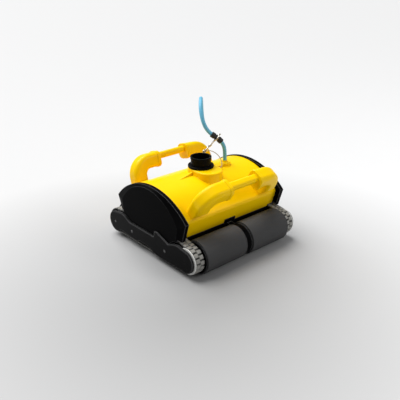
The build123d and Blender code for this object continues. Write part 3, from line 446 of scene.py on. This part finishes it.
waist_point = min(clamp_pairs, key=lambda pair: abs(pair[0]))[1]
waist_axis = (clamp_pairs[-1][1] - clamp_pairs[0][1]).normalized()
ring_radius = waist_radius + hook_wire
side = hook_foot - waist_point
side = (side - waist_axis * side.dot(waist_axis)).normalized()
shank_top = waist_point + side * ring_radius
shank = hook_foot - shank_top
reach = shank.length
out = (prong_aim - waist_axis * prong_aim.dot(waist_axis)).normalized()
prong_root = waist_point + out * ring_radius
hook_pieces = [
    ring("hook_ring", waist_point, waist_axis, ring_radius, hook_wire, steel),
    turned("hook_shank", [(0, 0), (0.0030, 0.0002), (0.0036, 0.0020), (0.0026, 0.0040),
                          (0.0023, 0.36 * reach), (0.0042, 0.38 * reach),
                          (0.0046, 0.42 * reach), (0.0046, 0.58 * reach),
                          (0.0040, 0.62 * reach), (0.0023, 0.64 * reach),
                          (0.0024, 0.95 * reach), (0, reach)], shank_top, shank, steel),
    ring("hook_eye", hook_foot + shank.normalized() * eye_radius, (0, 1, 0), eye_radius,
         hook_wire, steel),
    turned("hook_prong", [(0, 0), (0.0030, 0.0001), (0.0030, 0.5 * prong_length),
                          (0.0024, 0.65 * prong_length), (0.0040, 0.72 * prong_length),
                          (0.0040, 0.92 * prong_length), (0.0028, prong_length),
                          (0, 1.01 * prong_length)], prong_root, prong_aim, steel),
]
hook = joined("swivel_hook", hook_pieces)
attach(hook, "root")
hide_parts("snap_hook")

# ---- coil ties and plug ------------------------------------------------------------------
# Woven hook-and-loop ties hold the coil. The plug is glossy moulded plastic with a knurled
# locking ring.
tie_webbing = moulded("tie_webbing", (0.030, 0.030, 0.032), (0.018, 0.018, 0.020), 0.9,
                      scale=1600, depth=0.0002, specular=0.3)
plug_plastic = moulded("plug_plastic", (0.020, 0.020, 0.022), (0.014, 0.014, 0.015), 0.35)


def paint(material, *names):
    """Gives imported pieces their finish."""
    for name in names:
        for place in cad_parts[name].material_slots:
            place.material = material


paint(tie_webbing, "coil_ties")
paint(plug_plastic, "cable_plug")

# ---- tether ------------------------------------------------------------------------------
# Braided line tied to the turret's lug and knotted through the hook's eye.
tether_diameter = 0.0026
tether_route = [
    (0.056, -0.0215, 0.2365), (0.065, -0.025, 0.2365), (0.073, -0.024, 0.243),
    (0.077, -0.017, 0.256), (0.074, -0.008, 0.271), (0.065, 0.002, 0.283),
    (0.054, 0.009, 0.290), (0.045, 0.015, 0.291), (0.038, 0.0225, 0.2875),
    (0.0355, 0.030, 0.2835),
]
tether_line = moulded("tether_line", (0.62, 0.56, 0.42), (0.48, 0.42, 0.30), 0.8, scale=2600,
                      depth=0.0003)
tether = cord_curve("tether", tether_route, tether_diameter, tether_line)
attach(tether, "root")
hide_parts("tether_cord")

# ---- case and handles --------------------------------------------------------------------
# Thick glossy yellow mouldings: the arched case with its turret, the two carrying handles
# and the gland of the cable.
# The edges carry a painted highlight in a paler yellow.
yellow = moulded("yellow_plastic", (0.99, 0.66, 0.0), (0.97, 0.58, 0.0), 0.30, scale=1400,
                 depth=0.00002, specular=0.13, edge_radius=0.0022,
                 edge_highlight_tone=(1.0, 0.84, 0.03), edge_highlight_share=0.55)
paint(yellow, "top_shell", "front_handle", "rear_handle", "cable_gland")

# ---- end shields and side arms -----------------------------------------------------------
# Black moulded covers close the ends of the case, and stiff black arms with rounded edges
# carry the outer ends of the axles.
# Both blacks carry a painted highlight on their edges, a grey mixed in by the edge mask.
black = moulded("black_plastic", (0.0026, 0.0026, 0.0028), (0.0019, 0.0019, 0.0021), 0.42,
                specular=0.50, ior=1.07, edge_radius=0.0035, edge_highlight_tone=(0.20, 0.20, 0.205),
                edge_highlight_share=0.6)
arm_black = moulded("arm_black", (0.0030, 0.0030, 0.0033), (0.0022, 0.0022, 0.0024), 0.36,
                    specular=0.50, ior=1.13, edge_radius=0.0060, edge_highlight_tone=(0.30, 0.30, 0.305),
                    edge_highlight_share=0.6)
paint(arm_black, "left_arm", "right_arm")
paint(black, "left_shield", "right_shield")

# ---- tray and suction lid ----------------------------------------------------------------
# The black tray closes the case from below and carries the roller brackets. Its grey lid has
# two one-way intake flaps and is held by two quarter-turn latches.
paint(black, "bottom_tray", "front_roller_bracket", "rear_roller_bracket")
lid_grey = moulded("lid_grey", (0.055, 0.055, 0.057), (0.042, 0.042, 0.044), 0.5)
latch_grey = moulded("latch_grey", (0.32, 0.32, 0.31), (0.26, 0.26, 0.25), 0.45)
paint(lid_grey, "bottom_lid")
paint(latch_grey, "left_intake_flap", "right_intake_flap", "front_turn_latch",
      "rear_turn_latch")

# ---- arm screws --------------------------------------------------------------------------
# Stainless pan-head screws with a cross recess, four in the arms' posts and one in the rear
# boss of each arm.
dark_steel = moulded("dark_steel", (0.20, 0.20, 0.20), (0.15, 0.15, 0.15), 0.4, metallic=1.0,
                     scale=2200, depth=0.00002, edge_radius=0.0003)
screw_head = 0.004
screw_rise = 0.0024
recess_length = 0.0046
recess_width = 0.0011
recess_depth = 0.0014
head_round = 0.0012


def pan_screw(name, place, way):
    """A pan head, bevelled, with its cross cut by a boolean, facing along X."""
    bpy.ops.mesh.primitive_cylinder_add(vertices=32, radius=screw_head, depth=screw_rise)
    head = bpy.context.object
    head.name = name
    bpy.ops.object.mode_set(mode="EDIT")
    bpy.ops.mesh.select_all(action="DESELECT")
    bpy.ops.object.mode_set(mode="OBJECT")
    for face in head.data.polygons:
        face.select = face.normal.z > 0.9
    bpy.ops.object.mode_set(mode="EDIT")
    bpy.ops.mesh.bevel(offset=head_round, segments=3, affect="EDGES")
    bpy.ops.object.mode_set(mode="OBJECT")
    for turn in (0, math.pi / 2):
        bpy.ops.mesh.primitive_cube_add(size=1)
        cutter = bpy.context.object
        cutter.data.transform(Matrix.Translation((0, 0, screw_rise / 2))
                              @ Matrix.Rotation(turn, 4, "Z")
                              @ Matrix.Diagonal((recess_length, recess_width,
                                                 2 * recess_depth, 1)))
        cut = head.modifiers.new("cross", "BOOLEAN")
        cut.object = cutter
        cut.operation = "DIFFERENCE"
        only(head)
        bpy.ops.object.modifier_apply(modifier=cut.name)
        bpy.data.objects.remove(cutter)
    turn = Vector((way, 0, 0)).to_track_quat("Z", "Y").to_matrix().to_4x4()
    head.data.transform(Matrix.Translation(place) @ turn)
    bpy.ops.object.shade_smooth_by_angle(angle=math.radians(35))
    head.data.materials.append(dark_steel)
    return head


wheel_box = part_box("rear_left_belt_wheel")
axle_y = sum(corner.y for corner in wheel_box) / 2
axle_z = sum(corner.z for corner in wheel_box) / 2
screw_y = 0.088
screw_z = 0.052
screws = []
for way, arm in ((-1, "left_arm"), (1, "right_arm")):
    face_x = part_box(arm)[0].x if way < 0 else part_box(arm)[1].x
    for y, z in ((-screw_y, screw_z), (screw_y, screw_z), (axle_y, axle_z)):
        screws.append(pan_screw("screw", Vector((face_x, y, z)), way))
arm_heads = joined("arm_screw_heads", screws)
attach(arm_heads, "root")
paint(steel, "arm_screws", "case_screws", "inner_axle_pins", "outer_axle_pins")

# ---- belts -------------------------------------------------------------------------------
# Rubber bands, painted dark as shade between the cleats, with two staggered rows of paler square
# cleats whose edges carry a painted highlight, stretched round the two wheels and the drive
# pulley above them.
belt_rubber = moulded("belt_rubber", (0.36, 0.355, 0.33), (0.26, 0.255, 0.235), 0.6,
                      specular=0.25, edge_highlight_tone=(0.52, 0.51, 0.48), edge_highlight_share=0.6)
# The band's dark tone is painted shade for the gaps between the cleats.
band_rubber_painted_shade = moulded("band_rubber_painted_shade", (0.075, 0.073, 0.068), (0.050, 0.049, 0.045), 0.7,
                      specular=0.25)
wheel_seat = 0.036
pulley_seat = 0.026
belt_thickness = 0.0035
cleat_rise = 0.0038
cleat_run = 0.0118
cleat_pitch = 0.0155
cleat_root = 0.0003
cleat_bevel = 0.0009
column_gap = 0.0016
belt_margin = 0.0008
band_stations = 300
band_clearance = 0.0001
arc_steps = 32


def belt_outline(count):
    """Evenly spaced (point, outward) pairs in the Y-Z plane round wheels and pulley."""
    pulley_z = sum(corner.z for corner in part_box("left_drive_pulley")) / 2
    circles = [(Vector((-axle_y, axle_z)), wheel_seat), (Vector((axle_y, axle_z)), wheel_seat),
               (Vector((0, pulley_z)), pulley_seat)]
    normals = []
    for (a, r_a), (b, r_b) in zip(circles, circles[1:] + circles[:1]):
        run = b - a
        lean = (r_a - r_b) / run.length
        ahead = run.normalized()
        outward = Vector((ahead.y, -ahead.x))
        normals.append(ahead * lean + outward * math.sqrt(1 - lean * lean))
    path = []
    for k, (centre, radius) in enumerate(circles):
        first, last = normals[k - 1], normals[k]
        sweep = (math.atan2(last.y, last.x) - math.atan2(first.y, first.x)) % (2 * math.pi)
        for step in range(arc_steps + 1):
            turn = math.atan2(first.y, first.x) + sweep * step / arc_steps
            way = Vector((math.cos(turn), math.sin(turn)))
            path.append((centre + way * radius, way))
    path.append(path[0])
    lengths = [(b[0] - a[0]).length for a, b in zip(path, path[1:])]
    spacing = sum(lengths) / count
    stations = []
    walked, k = 0.0, 0
    for index in range(count):
        wanted = index * spacing
        while k < len(lengths) - 1 and walked + lengths[k] <= wanted:
            walked += lengths[k]
            k += 1
        part = (wanted - walked) / lengths[k]
        (a, way_a), (b, way_b) = path[k], path[k + 1]
        stations.append((a.lerp(b, part), way_a.lerp(way_b, part).normalized()))
    return stations, sum(lengths)


def cleat(width):
    """One chamfered rubber block, rooted just below the origin and rising along Z."""
    bpy.ops.mesh.primitive_cube_add(size=1, location=(0, 0, 0))
    block = bpy.context.object
    block.data.transform(Matrix.Translation((0, 0, cleat_rise / 2 - cleat_root))
                         @ Matrix.Diagonal((width, cleat_run, cleat_rise + 2 * cleat_root, 1)))
    bpy.ops.object.mode_set(mode="EDIT")
    bpy.ops.mesh.select_mode(type="EDGE")
    bpy.ops.mesh.select_all(action="DESELECT")
    bpy.ops.object.mode_set(mode="OBJECT")
    for edge in block.data.edges:
        edge.select = all(block.data.vertices[k].co.z > 0 for k in edge.vertices)
    bpy.ops.object.mode_set(mode="EDIT")
    bpy.ops.mesh.bevel(offset=cleat_bevel, segments=2, affect="EDGES")
    bpy.ops.object.mode_set(mode="OBJECT")
    return block


def track_belt(name, node):
    """The band, then both rows of cleats set round it."""
    low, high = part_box(node)
    middle_x = (low.x + high.x) / 2
    half = (high.x - low.x) / 2
    stations, length = belt_outline(band_stations)
    bpy.ops.mesh.primitive_circle_add(vertices=len(stations), radius=1)
    band = bpy.context.object
    band.data.materials.append(band_rubber_painted_shade)
    for vertex, (place, way) in zip(band.data.vertices, stations):
        vertex.co = (low.x, *(place + way * band_clearance))
    bpy.ops.object.mode_set(mode="EDIT")
    bpy.ops.mesh.select_all(action="SELECT")
    bpy.ops.mesh.extrude_region_move(TRANSFORM_OT_translate={"value": (2 * half, 0, 0)})
    bpy.ops.mesh.select_all(action="SELECT")
    bpy.ops.mesh.normals_make_consistent(inside=False)
    bpy.ops.object.mode_set(mode="OBJECT")
    wall = band.modifiers.new("wall", "SOLIDIFY")
    wall.thickness = belt_thickness
    wall.offset = 1
    bpy.ops.object.modifier_apply(modifier=wall.name)
    shape = cleat(half - belt_margin - column_gap / 2)
    shape.data.materials.append(belt_rubber)
    stations, length = belt_outline(2 * round(length / cleat_pitch))
    blocks = []
    for index, (place, way) in enumerate(stations):
        row = -1 if index % 2 else 1
        x = middle_x + row * (half - belt_margin + column_gap / 2) / 2
        foot = Vector((x, *(place + way * belt_thickness)))
        turn = Matrix(((1, 0, 0), (0, way.y, way.x), (0, -way.x, way.y))).to_4x4()
        block = bpy.data.objects.new("block", shape.data.copy())
        block.data.transform(Matrix.Translation(foot) @ turn)
        bpy.context.collection.objects.link(block)
        blocks.append(block)
    bpy.data.objects.remove(shape)
    belt = joined(name, [band] + blocks)
    bpy.ops.object.shade_smooth_by_angle(angle=math.radians(30))
    return belt


for hand in ("left", "right"):
    belt = track_belt(hand + "_cleated_belt", hand + "_belt")
    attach(belt, "root")
    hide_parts(hand + "_belt")

# ---- belt wheels and rollers -------------------------------------------------------------
# Belt wheels, pale in front and black behind, turn with hard black roller cores. Each core
# carries a sleeve of dark open-celled foam between its flanges.
pale_plastic = moulded("pale_plastic", (0.80, 0.80, 0.77), (0.70, 0.70, 0.67), 0.4)
pore_edge = 0.45
pore_shade = 0.5


def cellular(name, light, dark, cells, depth, roughness):
    """Open foam: small pores, each darkened by painted shade, over a slow change of tone."""
    material = moulded(name, light, dark, roughness, scale=cells, depth=depth, specular=0.3)
    tree = material.node_tree
    shader = tree.nodes["Principled BSDF"]
    place = node_at(tree, "ShaderNodeTexCoord", -1500, -500)
    pores = node_at(tree, "ShaderNodeTexVoronoi", -1200, -500, Vector=place.outputs["Object"],
                    Scale=cells)
    wall = node_at(tree, "ShaderNodeMapRange", -900, -500, Value=pores.outputs["Distance"])
    wall.inputs["From Max"].default_value = pore_edge
    old = shader.inputs["Normal"].links[0].from_node
    bump = node_at(tree, "ShaderNodeBump", -100, -400, Height=wall.outputs["Result"],
                   Normal=old.outputs["Normal"], Distance=depth, Strength=1.0)
    tree.links.new(bump.outputs["Normal"], shader.inputs["Normal"])
    colour = shader.inputs["Base Color"].links[0].from_socket
    # Painted shade: the pores are darkened towards a fraction of the dark tone.
    pore_shaded = node_at(tree, "ShaderNodeMix", -100, 300)
    pore_shaded.data_type = "RGBA"
    tree.links.new(wall.outputs["Result"], pore_shaded.inputs["Factor"])
    pore_shaded.inputs["A"].default_value = (*(pore_shade * c for c in dark), 1)
    tree.links.new(colour, pore_shaded.inputs["B"])
    tree.links.new(pore_shaded.outputs["Result"], shader.inputs["Base Color"])
    return material


roller_foam = cellular("roller_foam", (0.070, 0.070, 0.071), (0.052, 0.052, 0.053),
                       1100, 0.0002, 0.7)
for end, wheel_finish in (("front", pale_plastic), ("rear", black)):
    for hand in ("left", "right"):
        corner = end + "_" + hand
        paint(roller_foam, corner + "_roller_sleeve")
        paint(black, corner + "_roller_core")
        paint(wheel_finish, corner + "_belt_wheel")

# ---- water outlet ------------------------------------------------------------------------
# Black screw-in outlet with its grille, sealed to the turret by a rubber gasket.
# Its edges carry a faint painted highlight.
outlet_black = moulded("outlet_black", (0.0035, 0.0035, 0.0042), (0.0025, 0.0025, 0.003), 0.30,
                       specular=0.50, ior=1.12, edge_highlight_tone=(0.02, 0.02, 0.023), edge_highlight_share=0.5)
paint(outlet_black, "outlet_cap", "outlet_grille")
paint(black_rubber, "outlet_gasket", "shaft_seals")

# ---- inside the case ---------------------------------------------------------------------
# Filter cage, sealed pump can, drive motors, floats and the control board.
white_plastic = moulded("white_plastic", (0.78, 0.78, 0.76), (0.70, 0.70, 0.68), 0.45)
grey_plastic = moulded("grey_plastic", (0.22, 0.22, 0.23), (0.17, 0.17, 0.18), 0.5)
motor_steel = moulded("motor_steel", (0.42, 0.43, 0.44), (0.34, 0.35, 0.36), 0.35, metallic=0.6)
float_foam = cellular("float_foam", (0.72, 0.72, 0.70), (0.62, 0.62, 0.60), 500, 0.0003, 0.8)
circuit_board = moulded("circuit_board", (0.01, 0.16, 0.06), (0.008, 0.11, 0.045), 0.4)
paint(white_plastic, "filter_frame", "impeller")
paint(grey_plastic, "motor_can", "motor_can_lid", "left_drive_pulley", "right_drive_pulley")
paint(motor_steel, "pump_motor", "left_drive_motor", "right_drive_motor")
paint(float_foam, "float_blocks")
paint(circuit_board, "control_board")

# ---- filter bag --------------------------------------------------------------------------
# Fine woven polyester bag, sewn from one cross-shaped cut and pulled over the cage, open at
# the bottom. It hangs in slightly between the bars.
bag_gap = 0.0004
bag_sag = 0.005
side_sag = 0.7 * bag_sag
cloth_thickness = 0.0006
thread_depth = 0.0003


def woven(name, light, dark, threads):
    """Plain weave: a fine wave along each axis of the piece's own coordinates."""
    material = bpy.data.materials.new(name)
    material.use_nodes = True
    tree = material.node_tree
    shader = tree.nodes["Principled BSDF"]
    place = node_at(tree, "ShaderNodeTexCoord", -1200, 0)
    heights = []
    for row, way in enumerate(("X", "Y", "Z")):
        wave = node_at(tree, "ShaderNodeTexWave", -900, -300 * row,
                       Vector=place.outputs["Object"], Scale=threads, Distortion=0.4)
        wave.bands_direction = way
        heights.append(wave.outputs["Fac"])
    pair = sum_at(tree, "ADD", -600, 0, heights[0], heights[1])
    cloth = sum_at(tree, "ADD", -400, 0, pair, heights[2])
    level = sum_at(tree, "MULTIPLY", -200, 0, cloth, 1 / 3)
    tone = node_at(tree, "ShaderNodeMix", -100, 300)
    tone.data_type = "RGBA"
    tree.links.new(level, tone.inputs["Factor"])
    tone.inputs["A"].default_value = (*dark, 1)
    tone.inputs["B"].default_value = (*light, 1)
    bump = node_at(tree, "ShaderNodeBump", -100, -300, Height=level, Distance=thread_depth,
                   Strength=1.0)
    tree.links.new(tone.outputs["Result"], shader.inputs["Base Color"])
    tree.links.new(bump.outputs["Normal"], shader.inputs["Normal"])
    shader.inputs["Roughness"].default_value = 0.9
    shader.inputs["Sheen Weight"].default_value = 0.3
    return material


filter_cloth = woven("filter_cloth", (0.74, 0.76, 0.78), (0.50, 0.53, 0.56), 1500)
bag_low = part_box("filter_bag")[0]
cage_low, cage_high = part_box("filter_frame")
bpy.ops.mesh.primitive_cube_add(size=1, location=(0, 0, 0))
bag = bpy.context.object
bag.name = "sewn_filter_bag"
size = Vector((cage_high.x - cage_low.x, cage_high.y - cage_low.y, cage_high.z - bag_low.z))
size += Vector((2 * bag_gap, 2 * bag_gap, bag_gap))
bag.data.transform(Matrix.Translation((0, 0, bag_low.z + size.z / 2))
                   @ Matrix.Diagonal((*size, 1)))
bpy.ops.object.mode_set(mode="EDIT")
bpy.ops.mesh.select_mode(type="FACE")
bpy.ops.mesh.select_all(action="DESELECT")
bpy.ops.object.mode_set(mode="OBJECT")
for face in bag.data.polygons:
    face.select = face.normal.z < -0.9
bpy.ops.object.mode_set(mode="EDIT")
bpy.ops.mesh.delete(type="FACE")
bpy.ops.mesh.select_all(action="SELECT")
bpy.ops.mesh.subdivide(number_cuts=23)
bpy.ops.object.mode_set(mode="OBJECT")
for vertex in bag.data.vertices:
    u, v = 2 * vertex.co.x / size.x, 2 * vertex.co.y / size.y
    w = 2 * (vertex.co.z - bag_low.z) / size.z - 1
    slack_u = 1 - u * u
    slack_v = 1 - v * v
    slack_w = max(0, 1 - w * w)
    ripple = 1 + 0.25 * math.sin(9 * u + 4 * v) * math.sin(7 * v - 3 * w)
    if w > 0.999:
        vertex.co.z -= bag_sag * slack_u * slack_v * ripple
    if abs(u) > 0.999:
        vertex.co.x -= math.copysign(side_sag * slack_v * slack_w * ripple, u)
    if abs(v) > 0.999:
        vertex.co.y -= math.copysign(side_sag * slack_u * slack_w * ripple, v)
only(bag)
hem = bag.modifiers.new("cloth", "SOLIDIFY")
hem.thickness = cloth_thickness
hem.offset = 1
bpy.ops.object.modifier_apply(modifier=hem.name)
bpy.ops.object.shade_smooth_by_angle(angle=math.radians(50))
bag.data.materials.append(filter_cloth)
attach(bag, "root")
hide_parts("filter_bag")

# ---- floor -------------------------------------------------------------------------------
# Pale studio floor with a painted shadow, a darker pool in front of the machine. It is clear
# from below, so that the underside of the machine can be seen.
floor_width = 60
painted_shadow_reach = 1.10
painted_shadow_share = 0.85
painted_shadow_tone = 0.25
painted_shadow_middle = Vector((-0.28, -0.32, 0.0))
bpy.ops.mesh.primitive_plane_add(size=floor_width, location=(0, 0, 0))
floor = bpy.context.object
floor.name = "studio_floor"
floor_with_painted_shadow = moulded("floor_with_painted_shadow", (0.66, 0.66, 0.66), (0.65, 0.65, 0.65), 0.7, scale=60,
                      specular=0.2)
tree = floor_with_painted_shadow.node_tree
shader = tree.nodes["Principled BSDF"]
place = node_at(tree, "ShaderNodeTexCoord", -1200, 500)
centred = node_at(tree, "ShaderNodeMapping", -1000, 500, Vector=place.outputs["Object"])
centred.inputs["Location"].default_value = -painted_shadow_middle / painted_shadow_reach
centred.inputs["Scale"].default_value = [1 / painted_shadow_reach] * 3
# Painted shadow: a round pool, darkest at its middle in front of the machine, fading out to the
# plain floor.
shadow_fade = node_at(tree, "ShaderNodeTexGradient", -800, 500, Vector=centred.outputs["Vector"])
shadow_fade.gradient_type = "SPHERICAL"
painted_light_share = sum_at(tree, "MULTIPLY", -500, 500, shadow_fade.outputs["Fac"], painted_shadow_share)
shadow_graded = node_at(tree, "ShaderNodeMix", -100, 400, Factor=painted_light_share)
shadow_graded.data_type = "RGBA"
tree.links.new(shader.inputs["Base Color"].links[0].from_socket, shadow_graded.inputs["A"])
shadow_graded.inputs["B"].default_value = (painted_shadow_tone, painted_shadow_tone, painted_shadow_tone, 1)
tree.links.new(shadow_graded.outputs["Result"], shader.inputs["Base Color"])
side = node_at(tree, "ShaderNodeNewGeometry", 0, 600)
clear = node_at(tree, "ShaderNodeBsdfTransparent", 0, -500)
one_sided = node_at(tree, "ShaderNodeMixShader", 300, 300, Fac=side.outputs["Backfacing"])
tree.links.new(shader.outputs["BSDF"], one_sided.inputs[1])
tree.links.new(clear.outputs["BSDF"], one_sided.inputs[2])
tree.links.new(one_sided.outputs["Shader"], tree.nodes["Material Output"].inputs["Surface"])
floor.data.materials.append(floor_with_painted_shadow)

# ---- light -------------------------------------------------------------------------------
# A wide soft lamp high behind the machine, a weak one in front on the right, and an even
# bluish white all round.
sky_power = 4.4
sky_width = math.radians(58)
sky_from = Vector((-0.10, 0.62, 1.0))
fill_power = 20
fill_width = 1.2
fill_place = Vector((1.3, -2.2, 1.7))
fill_aim = Vector((0, 0, 0.1))
room_colour = (0.97, 0.98, 1.0, 1)
room_strength = 0.22
bpy.ops.object.light_add(type="SUN", location=(0, 0, 3))
sky_lamp = bpy.context.object
sky_lamp.name = "sky_lamp"
sky_lamp.data.energy = sky_power
sky_lamp.data.angle = sky_width
sky_lamp.rotation_euler = sky_from.to_track_quat("Z", "Y").to_euler()
bpy.ops.object.light_add(type="AREA", location=fill_place)
fill_lamp = bpy.context.object
fill_lamp.name = "fill_lamp"
fill_lamp.data.size = fill_width
fill_lamp.data.energy = fill_power
fill_lamp.rotation_euler = (fill_place - fill_aim).to_track_quat("Z", "Y").to_euler()
world = bpy.data.worlds.new("studio_world")
bpy.context.scene.world = world
world.use_nodes = True
room = world.node_tree.nodes["Background"]
room.inputs["Color"].default_value = room_colour
room.inputs["Strength"].default_value = room_strength
bpy.context.scene.view_settings.view_transform = "Standard"
